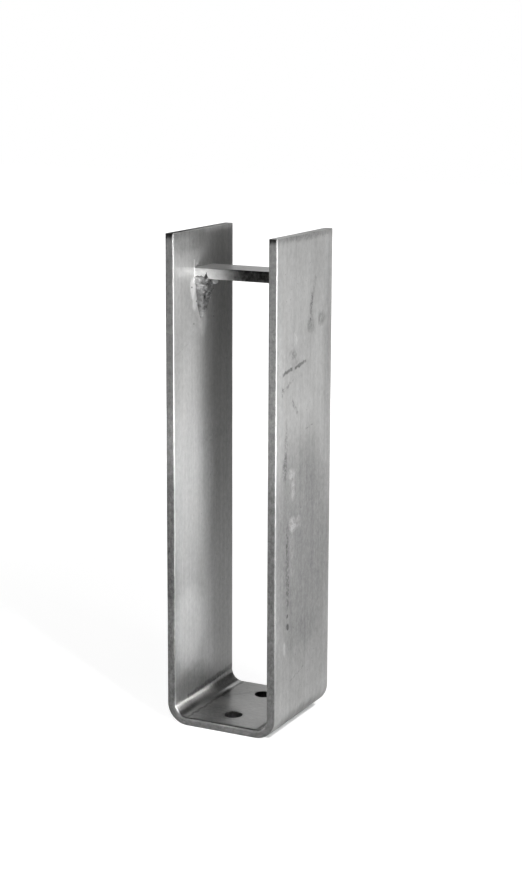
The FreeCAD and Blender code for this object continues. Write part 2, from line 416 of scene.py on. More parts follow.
@dataclass(frozen=True)
class MillSteel:
    """Hot-rolled steel as it leaves the mill: satin, with fine lines along the bar and small marks.

    The marks are given for the bar's inside, its outside and its walls, which are its long edges and
    the walls of its holes; besides real marks they hold painted light and shade. A smoother layer
    under the satin gives the soft mirror images. The value edge_face is where the long edges lie
    across the bar, darkened partly as a duller finish and partly as painted shade over their
    catch-light, and 0 leaves them as its faces are.
    """

    name: str
    colour: Triple = (0.56, 0.56, 0.555)
    roughness: float = 0.47
    anisotropy: float = 0.9
    polish: float = 0.30
    polished_share: float = 0.48
    lines: float = 0.16
    clouds: float = 0.12
    mill_scale: float = 0.54
    pitting: float = 0.50
    scoring: float = 0.16
    edge_face: float = 0.0
    edge_shade: float = 0.43
    thickness: float = 0.0
    unevenness: float = 6.0
    inside_marks: tuple[ScratchOrPaintedStreak | SmudgeOrPaintedLight, ...] = ()
    outside_marks: tuple[ScratchOrPaintedStreak | SmudgeOrPaintedLight, ...] = ()
    # Painted light and shade on the long edges and in the holes.
    wall_painted_light: tuple[ScratchOrPaintedStreak | SmudgeOrPaintedLight, ...] = ()

    def material(self) -> bpy.types.Material:
        """Build the material.

        Returns:
            The material, which reads the piece's rolled coordinates.
        """
        graph = Graph(bpy.data.materials.new(self.name))
        coords = graph.grain_coords()
        across, _, _ = graph.axes(coords)

        lines = graph.cloud(coords, (260, 5, 90), detail=4.0, roughness=0.62)
        clouds = graph.cloud(coords, (38, 15, 120), detail=3.0)
        scale = graph.cloud(coords, (330, 190, 200), detail=4.0, roughness=0.7)
        pits = graph.grains(coords, (240, 150, 100)).ramp(0.13, 0.05) * clouds.ramp(0.52, 0.64)
        scores = self.scores(graph, coords)

        shade = 1.0 + (lines - 0.5) * (2 * self.lines) + (clouds - 0.5) * (2 * self.clouds)
        shade = shade + (scale - 0.5) * self.mill_scale - pits * self.pitting + scores * self.scoring
        rough = self.roughness + (clouds - 0.5) * 0.08 - scores * 0.06
        height = lines * 0.5 + scale * 0.25 - pits * 0.4 - scores * 0.2

        # Darker long edges: partly a duller finish on their faces, partly painted shade that dims the
        # catch-light on their rounding.
        if self.edge_face:
            edge = abs(across).ramp(self.edge_face - 0.95 * MM, self.edge_face)
            mottle = graph.cloud(coords, (400, 170, 330), detail=4.0, roughness=0.7)
            flecks = graph.cloud(coords, (90, 700, 500), detail=2.0).ramp(0.62, 0.72)
            shade = shade * (1.0 - edge * (1.0 - self.edge_shade))
            shade = shade + edge * ((mottle - 0.5) * 0.75 - flecks * 0.12)
            rough = rough + edge * 0.12
            height = height + edge * mottle * 0.5

        colour = graph.tone(self.colour, self.marked(graph, coords, shade))
        normal = graph.bump(height, 0.05 * MM)
        satin = graph.metal(colour, rough.clamped(), normal, self.anisotropy)
        polish = graph.metal(colour, self.polish, normal)
        return graph.finish(graph.layered(self.polished_share, satin, polish))

    def marked(self, graph: Graph, coords: Signal, shade: Signal) -> Signal:
        """Add the marks and the painted light and shade, each on its own face, with wandering outlines
        and broken by fine gaps.

        Args:
            graph: the graph to add to.
            coords: the rolled coordinates.
            shade: how light the steel is without them.

        Returns:
            How light the steel is with them.
        """
        across, along, depth = graph.axes(coords)
        inside = depth.ramp(0.5 * MM, 0.0)
        outside = depth.ramp(self.thickness - 0.5 * MM, self.thickness)
        walls = 1.0 - inside - outside
        wander = graph.cloud(coords, (110, 90, 60), detail=2.0) - 0.5
        at_across = across / MM + wander * self.unevenness
        at_along = along / MM - wander * self.unevenness
        ragged = graph.cloud(coords, (420, 330, 200), detail=3.0, roughness=0.65).ramp(0.36, 0.60)
        placed = ((inside, self.inside_marks), (outside, self.outside_marks), (walls, self.wall_painted_light))
        for face, marks in placed:
            for mark in marks:
                # Each mark is a real stain or scuff, or painted light or shade, on its own face.
                stain_or_painted_light = mark.mask(at_across, at_along) * (1.0 - mark.broken * (1.0 - ragged)) * face
                shade = shade + stain_or_painted_light * mark.shade
        return shade

    def scores(self, graph: Graph, coords: Signal) -> Signal:
        """Fine handling scratches that run at several angles over the rolling lines.

        Args:
            graph: the graph to add to.
            coords: the rolled coordinates.

        Returns:
            1 on a scratch and 0 beside it.
        """
        found = []
        for angle, spacing in ((12.0, 210.0), (-34.0, 170.0), (71.0, 150.0)):
            turned = graph.turned(coords, angle)
            thread = graph.cloud(turned, (spacing * 9, spacing * 0.12, 40.0), detail=1.0)
            patch = graph.cloud(turned, (26.0, 20.0, 60.0), detail=1.0)
            found.append(thread.ramp(0.735, 0.80) * patch.ramp(0.56, 0.68))
        return sum(found).clamped()


@dataclass(frozen=True)
class Spot:
    """A dark pit, or a pale spot of painted light, on a weld: its centre on the left one and its size,
    both in millimetres.
    """

    centre: Triple
    radius: float
    shade: float

    def mask(self, x: Signal, y: Signal, z: Signal) -> Signal:
        """1 in the middle of the spot on either weld, fading to 0 at its edge.

        Args:
            x: place across the gap, in millimetres, without its sign.
            y: place along the leg's width, in millimetres, as on the left weld.
            z: height in millimetres.

        Returns:
            The mask.
        """
        off_x, off_y, off_z = x - self.centre[0], y - self.centre[1], z - self.centre[2]
        return (off_x * off_x + off_y * off_y + off_z * off_z).ramp(self.radius**2, 0.1 * self.radius**2)


@dataclass(frozen=True)
class WeldMetal:
    """Weld metal as laid: rough and rippled, with dark pits and pale spots of painted light."""

    name: str
    colour: Triple = (0.20, 0.20, 0.20)
    roughness: float = 0.55
    bare: float = 0.62
    pits_and_painted_light: tuple[Spot, ...] = (
        # Painted light: pale spots on the lobe at the back of the weld, on its front flank by the bar and on
        # its tip, and a painted glint on a drop of spatter above the bar.
        Spot((38.5, 4.5, 388.5), 5.5, 1.5),
        Spot((38.0, 9.5, 389.5), 4.5, 0.9),
        Spot((43.0, -16.5, 392.5), 4.5, 1.6),
        Spot((38.5, -17.0, 393.0), 3.5, 0.9),
        Spot((43.0, -15.0, 387.0), 3.5, 0.7),
        Spot((43.5, -5.5, 362.0), 6.5, 1.0),
        Spot((44.8, -12.0, 405.9), 2.5, 1.6),
        # Dark pits and specks.
        Spot((33.8, -17.5, 396.0), 2.6, -0.75),
        Spot((43.2, -17.4, 396.2), 1.2, -0.9),
        Spot((39.8, -17.4, 396.6), 1.2, -0.9),
        Spot((38.5, -9.0, 377.5), 2.4, -0.6),
    )

    def material(self) -> bpy.types.Material:
        """Build the material.

        Returns:
            The material, which reads the piece's own coordinates.
        """
        graph = Graph(bpy.data.materials.new(self.name))
        coords = graph.object_coords()
        x, y, z = graph.axes(coords)
        side = 1.0 - 2.0 * x.above(0.0)
        patches = graph.cloud(coords, (260, 260, 260), detail=3.0)
        grit = graph.cloud(coords, (1300, 1300, 1300), detail=3.0, roughness=0.7)
        glass = graph.grains(coords, (260, 260, 260)).ramp(0.26, 0.10)
        shade = 1.0 + (patches - 0.5) * 2.2 + (grit - 0.5) * 0.6 - glass * 0.35
        for spot in self.pits_and_painted_light:
            shade = shade + spot.mask(abs(x) / MM, y * side / MM, z / MM) * spot.shade
        rough = self.roughness + (patches - 0.5) * 0.2
        colour = graph.tone(self.colour, shade.largest(0.15))
        normal = graph.bump(grit + glass * 0.5, 0.06 * MM)
        return graph.finish(graph.metal(colour, rough.clamped(), normal, bare=self.bare))


@dataclass(frozen=True)
class StudioSurface:
    """A floor that shows white to the camera and keeps a soft shadow, dark under the base."""

    name: str
    colour: Triple = (0.85, 0.85, 0.85)
    glow: float = 1.28
    shadow: float = 0.28
    in_metal: float = 0.04
    shadow_reach: tuple[float, float] = (0.5, 1.4)
    dark_half: tuple[float, float] = (46 * MM, 50 * MM)

    def material(self) -> bpy.types.Material:
        """Build the material.

        Returns:
            The material.
        """
        graph = Graph(bpy.data.materials.new(self.name))
        diffuse = graph.node("ShaderNodeBsdfDiffuse", {}, {"Color": (*self.colour, 1.0)})
        glow = graph.node("ShaderNodeEmission", {}, {"Color": (1.0, 1.0, 1.0, 1.0), "Strength": self.glow})
        path = graph.add("ShaderNodeLightPath", {}, {})
        rays = ("Is Camera Ray", "Is Glossy Ray", "Is Transmission Ray")
        seen, glossy, through = (Signal(graph, path.outputs[ray]) for ray in rays)
        x, y, _ = graph.axes(graph.object_coords())
        near = ((x * x + y * y) ** 0.5).ramp(self.shadow_reach[1], self.shadow_reach[0])
        share = seen * (1.0 - near * self.shadow) + (glossy + through) * self.in_metal
        half_x, half_y = self.dark_half
        covered = abs(x).ramp(half_x, half_x - 2 * MM) * abs(y).ramp(half_y, half_y - 2 * MM)
        return graph.finish(graph.layered(share * (1.0 - covered), diffuse, glow))


# ------------------------------------------------------------------ mesh tools


class Sweep:
    """A bar's section carried along straight runs and bends, as the bar itself was rolled and bent."""

    def __init__(self, thickness: float, width: float, rounding: float, cuts: tuple[int, int]) -> None:
        """Draw the section flat in the XY plane: thickness along X and width along Y.

        Args:
            thickness: size of the section along X.
            width: size of the section along Y.
            rounding: radius of its four corners.
            cuts: number of pieces that its short and its long sides are divided into.
        """
        self.mesh = bmesh.new()
        bmesh.ops.create_grid(self.mesh, x_segments=1, y_segments=1, size=0.5)
        bmesh.ops.scale(self.mesh, vec=(thickness, width, 1.0), verts=self.mesh.verts)
        bmesh.ops.bevel(
            self.mesh,
            geom=self.mesh.verts[:],
            affect="VERTICES",
            offset=rounding,
            offset_type="OFFSET",
            segments=4,
            profile=0.5,
            material=-1,
        )
        short, long = thickness - 2 * rounding, width - 2 * rounding
        for length, pieces in ((short, cuts[0]), (long, cuts[1])):
            sides = [edge for edge in self.mesh.edges if abs(edge.calc_length() - length) < 0.01 * MM]
            bmesh.ops.subdivide_edges(self.mesh, edges=sides, cuts=pieces - 1)
        rim = [edge for edge in self.mesh.edges if edge.is_boundary]
        corners = dict.fromkeys(vertex for edge in rim for vertex in edge.verts)
        self.ring: list[Any] = [*corners, *rim]

    def place(self, matrix: Matrix) -> None:
        """Put the first section where the bar starts, by a transform."""
        bmesh.ops.transform(self.mesh, matrix=matrix, verts=self.mesh.verts)

    def run(self, step: Vector, steps: int) -> None:
        """Carry the section on in a straight line.

        Args:
            step: how far each step goes.
            steps: how many steps there are.
        """
        self._spin(Vector(), Vector((0, 1, 0)), 0.0, step, steps)

    def bend(self, centre: Vector, axis: Vector, angle: float, steps: int) -> None:
        """Carry the section on round a bend.

        Args:
            centre: a point on the axis of the bend.
            axis: the direction of that axis.
            angle: the turn in degrees.
            steps: how many steps there are.
        """
        self._spin(centre, axis, math.radians(angle), Vector(), steps)

    def _spin(self, centre: Vector, axis: Vector, angle: float, step: Vector, steps: int) -> None:
        """Extrude the last ring and keep the new last ring.

        Args:
            centre: a point on the axis of the turn.
            axis: the direction of that axis.
            angle: the turn in radians.
            step: how far each step goes on top of the turn.
            steps: how many steps there are.
        """
        made = bmesh.ops.spin(
            self.mesh,
            geom=self.ring,
            cent=centre,
            axis=axis,
            angle=angle,
            dvec=step,
            steps=steps,
            use_merge=False,
        )
        self.ring = made["geom_last"]

    def close(self) -> bmesh.types.BMesh:
        """Close the far end and turn every face outwards.

        Returns:
            The closed mesh.
        """
        rim = [item for item in self.ring if isinstance(item, bmesh.types.BMEdge)]
        bmesh.ops.contextual_create(self.mesh, geom=rim)
        bmesh.ops.recalc_face_normals(self.mesh, faces=self.mesh.faces)
        return self.mesh


def show(name: str, data: bpy.types.ID) -> bpy.types.Object:
    """Put a mesh, a lamp or a camera into the scene.

    Args:
        name: the object's name.
        data: what the object holds.

    Returns:
        The object, at the origin.
    """
    made = bpy.data.objects.new(name, data)
    bpy.context.scene.collection.objects.link(made)
    return made


def shade_faces(data: bpy.types.Mesh, crease: float) -> None:
    """Shade a mesh smooth, and sharp at edges above an angle in degrees."""
    data.shade_smooth()
    data.set_sharp_from_angle(angle=math.radians(crease))


def make_object(name: str, mesh: bmesh.types.BMesh, crease: float) -> bpy.types.Object:
    """Turn a bmesh into an object at the origin.

    Args:
        name: the object's name.
        mesh: the bmesh, which is freed.
        crease: angle in degrees above which an edge stays sharp.

    Returns:
        The object.
    """
    data = bpy.data.meshes.new(name)
    mesh.to_mesh(data)
    mesh.free()
    shade_faces(data, crease)
    return show(name, data)


def apply_modifiers(made: bpy.types.Object) -> None:
    """Bake an object's modifiers into its mesh.

    Args:
        made: the object.
    """
    graph = bpy.context.evaluated_depsgraph_get()
    data = bpy.data.meshes.new_from_object(made.evaluated_get(graph))
    made.modifiers.clear()
    made.data = data


def cut_away(made: bpy.types.Object, cutters: Sequence[bpy.types.Object]) -> None:
    """Cut other objects out of a piece, and remove them.

    Args:
        made: the piece.
        cutters: what is cut out of it.
    """
    for cutter in cutters:
        cut = made.modifiers.new("cut", "BOOLEAN")
        cut.operation = "DIFFERENCE"
        cut.solver = "MANIFOLD"
        cut.object = cutter
    bpy.context.view_layer.update()
    apply_modifiers(made)
    for cutter in cutters:
        bpy.data.objects.remove(cutter)


def lay_grain(made: bpy.types.Object, place: Callable[[Vector], Vector]) -> None:
    """Store the rolled coordinates of every vertex, and spread highlights across the rolling lines.

    Args:
        made: the piece.
        place: gives the rolled coordinates of a point of the piece.
    """
    attribute = made.data.attributes.new(GRAIN_ATTRIBUTE, "FLOAT_VECTOR", "POINT")
    for vertex, item in zip(made.data.vertices, attribute.data):
        item.vector = place(vertex.co)
    made.data.use_auto_texspace = False
    made.data.texspace_location = GRAIN_ORIGIN


def seat(made: bpy.types.Object, node: str, finish: bpy.types.Material) -> None:
    """Dress a piece, let it stand for its solid and report it.

    Args:
        made: the piece.
        node: the solid that it stands for.
        finish: the material.
    """
    made.data.materials.clear()
    made.data.materials.append(finish)
    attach(made, "root")
    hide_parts(node)
    LOG.info("%s: %d faces stand for %s", made.name, len(made.data.polygons), node)


# ---------------------------------------------------------------------- pieces


@dataclass
class Strap:
    """The U-shaped strap: a flat bar bent twice, with holes through its base."""

    thickness: float = 8.0 * MM
    bend_radius: float = 11.0 * MM
    rolled_edge: float = 1.2 * MM
    sheared_edge: float = 0.5 * MM
    hole_radius: float = 8.0 * MM
    hole_spacing: float = 60.0 * MM
    deburr: float = 0.5 * MM
    nick: float = 0.25 * MM
    step: float = 6.0 * MM
    bend_steps: int = 16
    crease: float = 35.0
    low: Vector = field(init=False)
    high: Vector = field(init=False)

    def __post_init__(self) -> None:
        """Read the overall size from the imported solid."""
        self.low, self.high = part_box("u_strap")

    @property
    def outer_radius(self) -> float:
        """Radius of the outside of a bend."""
        return self.bend_radius + self.thickness

    @property
    def flat_half(self) -> float:
        """Half the length of the flat base, up to where the bends start."""
        return self.high.x - self.outer_radius

    @property
    def bend_run(self) -> float:
        """Length of the middle of the bar round one bend."""
        return math.pi / 2 * (self.bend_radius + self.thickness / 2)

    def along_leg(self, height: float) -> float:
        """Place along the bar, from the middle of the base, of a height on a leg."""
        return self.flat_half + self.bend_run + height - self.outer_radius

    def mark_place(self, side: Side, across: float, height: float) -> tuple[float, float]:
        """Millimetres across and along the bar for a place on a leg, itself given in millimetres."""
        return across, side.value * self.along_leg(height * MM) / MM

    def rolled(self, point: Vector) -> Vector:
        """Rolled coordinates of a point: across the bar, along it, and depth from its inside.

        Args:
            point: a point on the strap.

        Returns:
            The coordinates in metres; along is negative on the left side.
        """
        sign = math.copysign(1.0, point.x)
        past_flat = abs(point.x) - self.flat_half
        above = point.z - self.outer_radius
        if past_flat <= 0:
            return Vector((point.y, point.x, self.thickness - point.z))
        if above >= 0:
            depth = past_flat - self.bend_radius
            return Vector((point.y, sign * self.along_leg(point.z), depth))
        turn = math.atan2(past_flat, -above)
        depth = math.hypot(past_flat, above) - self.bend_radius
        along = self.flat_half + turn / (math.pi / 2) * self.bend_run
        return Vector((point.y, sign * along, depth))

    def bent_bar(self) -> bmesh.types.BMesh:
        """Bend the bar from the end of the left leg to the end of the right one.

        Returns:
            The bent bar without its holes.
        """
        width = self.high.y - self.low.y
        leg = self.high.z - self.outer_radius
        leg_steps = round(leg / self.step)
        base_steps = round(2 * self.flat_half / self.step)
        pieces = (4, round(width / self.step))
        bar = Sweep(self.thickness, width, self.rolled_edge, pieces)
        bar.place(Matrix.Translation((self.low.x + self.thickness / 2, 0, self.high.z)))
        around = Vector((0, -1, 0))
        bar.run(Vector((0, 0, -leg / leg_steps)), leg_steps)
        bar.bend(Vector((-self.flat_half, 0, self.outer_radius)), around, 90.0, self.bend_steps)
        bar.run(Vector((2 * self.flat_half / base_steps, 0, 0)), base_steps)
        bar.bend(Vector((self.flat_half, 0, self.outer_radius)), around, 90.0, self.bend_steps)
        bar.run(Vector((0, 0, leg / leg_steps)), leg_steps)
        return bar.close()

    def break_ends(self, bar: bmesh.types.BMesh) -> None:
        """Break the sharp edges round the sheared ends of the legs.

        Args:
            bar: the bent bar.
        """
        top = self.high.z - 0.01 * MM
        rims = [edge for edge in bar.edges if all(vertex.co.z > top for vertex in edge.verts)]
        bmesh.ops.bevel(
            bar,
            geom=rims,
            affect="EDGES",
            offset=self.sheared_edge,
            offset_type="OFFSET",
            segments=2,
            profile=0.5,
            material=-1,
        )

    def wear(self, bar: bmesh.types.BMesh) -> None:
        """Nick the long edges a little.

        Args:
            bar: the bent bar.
        """
        edge_at = self.high.y - self.rolled_edge
        for vertex in bar.verts:
            place = self.rolled(vertex.co)
            side = math.copysign(1.0, vertex.co.y)
            if abs(vertex.co.y) > edge_at:
                rough = noise.noise(Vector((place.y * 30, place.z * 60, side * 7)))
                vertex.co.y -= side * max(0.0, rough) * self.nick

    def hole_cutter(self, centre: float) -> bpy.types.Object:
        """What a hole takes out: a cylinder with a small countersink at both mouths.

        Args:
            centre: the hole's place along Y.

        Returns:
            The cutter.
        """
        reach = self.thickness + self.deburr
        wide = self.hole_radius + 2 * self.deburr
        profile = [
            (0.0, -self.deburr),
            (wide, -self.deburr),
            (self.hole_radius, self.deburr),
            (self.hole_radius, self.thickness - self.deburr),
            (wide, reach),
            (0.0, reach),
        ]
        drill = bmesh.new()
        points = [drill.verts.new((radius, 0.0, height)) for radius, height in profile]
        outline = [drill.edges.new(pair) for pair in zip(points, points[1:])]
        bmesh.ops.spin(
            drill,
            geom=points + outline,
            cent=(0, 0, 0),
            axis=(0, 0, 1),
            angle=math.tau,
            steps=64,
            use_merge=True,
        )
        bmesh.ops.remove_doubles(drill, verts=drill.verts, dist=0.001 * MM)
        bmesh.ops.recalc_face_normals(drill, faces=drill.faces)
        bmesh.ops.translate(drill, vec=(0, centre, 0), verts=drill.verts)
        return make_object("drill", drill, self.crease)

    def build(self, finish: bpy.types.Material) -> bpy.types.Object:
        """Build the strap.

        Args:
            finish: its material.

        Returns:
            The strap.
        """
        bar = self.bent_bar()
        self.break_ends(bar)
        self.wear(bar)
        made = make_object("bent_strap", bar, self.crease)
        cut_away(made, [self.hole_cutter(side * self.hole_spacing / 2) for side in (-1, 1)])
        shade_faces(made.data, self.crease)
        lay_grain(made, self.rolled)
        seat(made, "u_strap", finish)
        return made


@dataclass
class CrossBar:
    """The flat bar between the legs."""

    rounding: float = 0.9 * MM
    step: float = 3.0 * MM
    crease: float = 35.0
    low: Vector = field(init=False)
    high: Vector = field(init=False)

    def __post_init__(self) -> None:
        """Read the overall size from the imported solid."""
        self.low, self.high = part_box("cross_bar")

    def rolled(self, point: Vector) -> Vector:
        """Rolled coordinates of a point: across the bar, along it, and depth from its top."""
        return Vector((point.y, point.x, self.high.z - point.z))

    def build(self, finish: bpy.types.Material) -> bpy.types.Object:
        """Build the bar.

        Args:
            finish: its material.

        Returns:
            The bar.
        """
        size = self.high - self.low
        middle = (self.high + self.low) / 2
        steps = round(size.x / self.step)
        pieces = (round(size.z / self.step), round(size.y / self.step))
        bar = Sweep(size.z, size.y, self.rounding, pieces)
        upright = Matrix.Rotation(math.radians(90.0), 4, "Y")
        bar.place(Matrix.Translation((self.low.x, middle.y, middle.z)) @ upright)
        bar.run(Vector((size.x / steps, 0, 0)), steps)
        made = make_object("flat_cross_bar", bar.close(), self.crease)
        lay_grain(made, self.rolled)
        seat(made, "cross_bar", finish)
        return made


@dataclass
class WeldHeap:
    """A heap of weld metal under one end of the cross bar, weaved up the leg in overlapping ripples.

    It is laid in a frame of its own: X out of the leg, Y along the leg's width, Z up, with the
    origin where the underside of the bar meets the leg.
    """

    side: Side
    drop: float = 33.0 * MM
    reach: float = 8.6 * MM
    half_width: float = 14.6 * MM
    centre: float = -1.6 * MM
    lean: float = 2.6 * MM
    tilt: float = 24.0
    ripples: int = 13
    drops: int = 26
    spatter_drops: int = 8
    grain: float = 0.42 * MM
    top: float = 7.0 * MM
    crease: float = 60.0
    low: Vector = field(init=False)
    high: Vector = field(init=False)

    def __post_init__(self) -> None:
        """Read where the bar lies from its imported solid."""
        self.low, self.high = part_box("cross_bar")

    @staticmethod
    def lump(centre: Triple, size: Triple, tilt: float = 0.0) -> Matrix:
        """One rounded lump.

        Args:
            centre: its middle.
            size: its half sizes.
            tilt: its turn about X, in degrees.

        Returns:
            The transform of a unit sphere.
        """
        turn = Matrix.Rotation(math.radians(tilt), 4, "X")
        return Matrix.Translation(centre) @ turn @ Matrix.Diagonal((*size, 1.0))

    def width_at(self, share: float) -> float:
        """Half the width of the heap at a share of its height."""
        return self.half_width * (0.24 + 0.76 * share ** 0.75)

    def reach_at(self, share: float) -> float:
        """How far the heap stands off the leg at a share of its height."""
        return self.reach * (0.30 + 0.70 * share ** 0.6)

    def weave(self, draw: random.Random) -> list[Matrix]:
        """The passes of the weave, each a row of three lumps.

        Args:
            draw: the source of small irregularities.

        Returns:
            The transforms of the lumps.
        """
        pitch = self.drop / self.ripples
        found = []
        for count in range(self.ripples + 4):
            share = min((count + 0.5) / self.ripples, 1.05)
            half, reach = self.width_at(share), self.reach_at(share)
            height = -self.drop + (count + 0.5) * pitch
            middle = self.centre - self.lean * (1 - share)
            for place, wide, out in ((-0.52, 0.50, 0.92), (0.0, 0.62, 1.0), (0.50, 0.50, 0.80)):
                rise = place * half * math.tan(math.radians(self.tilt))
                centre = (0.0, middle + place * half, height + rise)
                size = (
                    reach * out * draw.uniform(0.90, 1.05),
                    wide * half * draw.uniform(0.94, 1.05),
                    pitch * draw.uniform(1.0, 1.35),
                )
                found.append(self.lump(centre, size, self.tilt))
        return found

    def blobs(self, draw: random.Random) -> list[Matrix]:
        """Drops that froze on the face of the weave, and the round lobes at its back and front.

        Args:
            draw: the source of their places and sizes.

        Returns:
            The transforms of the lumps.
        """
        found = [
            self.lump((4.6 * MM, 9.0 * MM, -4.0 * MM), (5.2 * MM, 4.0 * MM, 3.8 * MM), self.tilt),
            self.lump((6.2 * MM, -12.0 * MM, -1.8 * MM), (4.6 * MM, 3.6 * MM, 3.6 * MM)),
            self.lump((5.4 * MM, -8.5 * MM, -8.5 * MM), (4.4 * MM, 4.2 * MM, 4.4 * MM), self.tilt),
        ]
        for _ in range(self.drops):
            share = draw.uniform(0.05, 0.98)
            angle = draw.uniform(-1.25, 1.2)
            middle = self.centre - self.lean * (1 - share)
            centre = (
                0.90 * self.reach_at(share) * math.cos(angle),
                middle + 0.92 * self.width_at(share) * math.sin(angle),
                -self.drop * (1 - share),
            )
            size = draw.uniform(0.9, 2.0) * MM
            found.append(self.lump(centre, (size * 0.55, size, size * 0.8), draw.uniform(0, 50)))
        return found

    def horn(self) -> list[Matrix]:
        """The metal that wetted the bar's front face, with the spike that it drew up there.

        Returns:
            The transforms of the lumps.
        """
        front = self.low.y
        steps = 6
        found = []
        for count in range(steps + 1):
            share = count / steps
            size = (2.7 - 2.2 * share) * MM
            centre = ((10.6 + 0.9 * share) * MM, front + 0.1 * MM, (-1.0 + 6.2 * share) * MM)
            found.append(self.lump(centre, (size, (1.3 - 0.8 * share) * MM, 1.5 * MM)))
        wetted = ((1.0, 0.4, 1.7), (2.8, 1.0, 1.9), (4.8, 0.5, 1.9), (6.6, 1.2, 1.7), (8.6, 0.2, 1.9))
        for out, up, size in wetted:
            found.append(self.lump((out * MM, front + 0.2 * MM, up * MM), (size * MM, 0.9 * MM, 1.7 * MM)))
        return found

    def spatter(self, draw: random.Random) -> list[Matrix]:
        """Small drops that landed on the leg round the weld, one of them above the bar.

        Args:
            draw: the source of their places and sizes.

        Returns:
            The transforms of the drops.
        """
        above = self.high.z - self.low.z
        found = [self.lump((0.2 * MM, -12.0 * MM, above + 2.4 * MM), (0.7 * MM, 1.0 * MM, 0.9 * MM))]
        for _ in range(self.spatter_drops):
            size = draw.uniform(0.35, 0.75) * MM
            centre = (0.1 * MM, draw.uniform(-25, 24) * MM, draw.uniform(-44, -4) * MM)
            found.append(self.lump(centre, (size * 0.8, size, size)))
        return found

    def pile(self, name: str, lumps: Sequence[Matrix], detail: int) -> bpy.types.Object:
        """Make one object of many lumps.

        Args:
            name: the object's name.
            lumps: the transforms of unit spheres.
            detail: how finely each sphere is divided.

        Returns:
            The object.
        """
        heap = bmesh.new()
        for matrix in lumps:
            bmesh.ops.create_icosphere(heap, subdivisions=detail, radius=1.0, matrix=matrix)
        return make_object(name, heap, self.crease)

    def melt(self, made: bpy.types.Object) -> None:
        """Melt the lumps into one skin and roughen it a little.

        Args:
            made: the pile of lumps.
        """
        merge = made.modifiers.new("merge", "REMESH")
        merge.mode = "VOXEL"
        merge.voxel_size = self.grain
        smooth = made.modifiers.new("smooth", "SMOOTH")
        smooth.factor = 0.6
        smooth.iterations = 3
        apply_modifiers(made)
        skin = bmesh.new()
        skin.from_mesh(made.data)
        for vertex in skin.verts:
            place = vertex.co / MM
            swell = noise.noise(place * 0.55) * 0.28 + noise.noise(place * 1.3) * 0.12
            vertex.co += vertex.normal * swell * MM
        skin.to_mesh(made.data)
        skin.free()

    def block(self, name: str, low: Vector, high: Vector) -> bpy.types.Object:
        """A plain block to cut the heap with.

        Args:
            name: its name.
            low: its lowest corner.
            high: its highest corner.

        Returns:
            The block.
        """
        made = bmesh.new()
        place = Matrix.Translation((low + high) / 2) @ Matrix.Diagonal((*(high - low), 1.0))
        bmesh.ops.create_cube(made, size=1.0, matrix=place)
        return make_object(name, made, self.crease)

    def build(self, finish: bpy.types.Material) -> bpy.types.Object:
        """Build the weld on the left leg, and turn it round for the right one.

        Args:
            finish: its material.

        Returns:
            The weld.
        """
        draw = random.Random(7 + self.side.value)
        leg_name = self.side.name.lower()
        lumps = self.weave(draw) + self.blobs(draw) + self.horn()
        made = self.pile(f"weld_heap_{leg_name}", lumps, 3)
        self.melt(made)
        far = 60 * MM
        thick, tall = self.high.y, self.high.z - self.low.z
        leg = self.block("leg_block", Vector((-far, -far, -far)), Vector((0, far, far)))
        bar = self.block("bar_block", Vector((-far, -thick, 0)), Vector((far, thick, tall)))
        above = self.block("above_block", Vector((-far, -far, self.top)), Vector((far, far, far)))
        cut_away(made, [leg, bar, above])
        drops = self.pile("drops", self.spatter(draw), 2)
        both = bmesh.new()
        both.from_mesh(made.data)
        both.from_mesh(drops.data)
        both.to_mesh(made.data)
        both.free()
        bpy.data.objects.remove(drops)
        made.data.transform(Matrix.Translation((self.low.x, 0, self.low.z)))
        if self.side is Side.RIGHT:
            made.data.transform(Matrix.Rotation(math.pi, 4, "Z"))
        shade_faces(made.data, self.crease)
        seat(made, f"weld_{leg_name}", finish)
        return made


# ----------------------------------------------------------------- the studio


@dataclass(frozen=True)
class Lamp:
    """A rectangular soft lamp, by its azimuth round the object, its ground distance and its height."""

    name: str
    azimuth: float
    ground: float
    above: float
    width: float
    height: float
    watts: float
    beam: float = 180.0
    aim: Triple | None = None

    def build(self, middle: Vector) -> bpy.types.Object:
        """Hang the lamp.

        Args:
            middle: the point that it faces, unless it has an aim of its own.

        Returns:
            The lamp.
        """
        data = bpy.data.lights.new(self.name, "AREA")
        data.shape = "RECTANGLE"
        data.size = self.width
        data.size_y = self.height
        data.energy = self.watts
        data.spread = math.radians(self.beam)
        target = Vector(self.aim) if self.aim else middle
        made = show(self.name, data)
        made.location = direction(self.azimuth, 0.0) * self.ground + Vector((target.x, target.y, self.above))
        made.rotation_euler = (made.location - target).to_track_quat("Z", "Y").to_euler()
        made.visible_camera = False
        return made


def direction(azimuth: float, elevation: float) -> Vector:
    """Unit vector from the object towards a place round it.

    Args:
        azimuth: degrees from -Y towards +X.
        elevation: degrees above the horizon.

    Returns:
        The unit vector.
    """
    turn, rise = math.radians(azimuth), math.radians(elevation)
    return Vector((math.sin(turn) * math.cos(rise), -math.cos(turn) * math.cos(rise), math.sin(rise)))


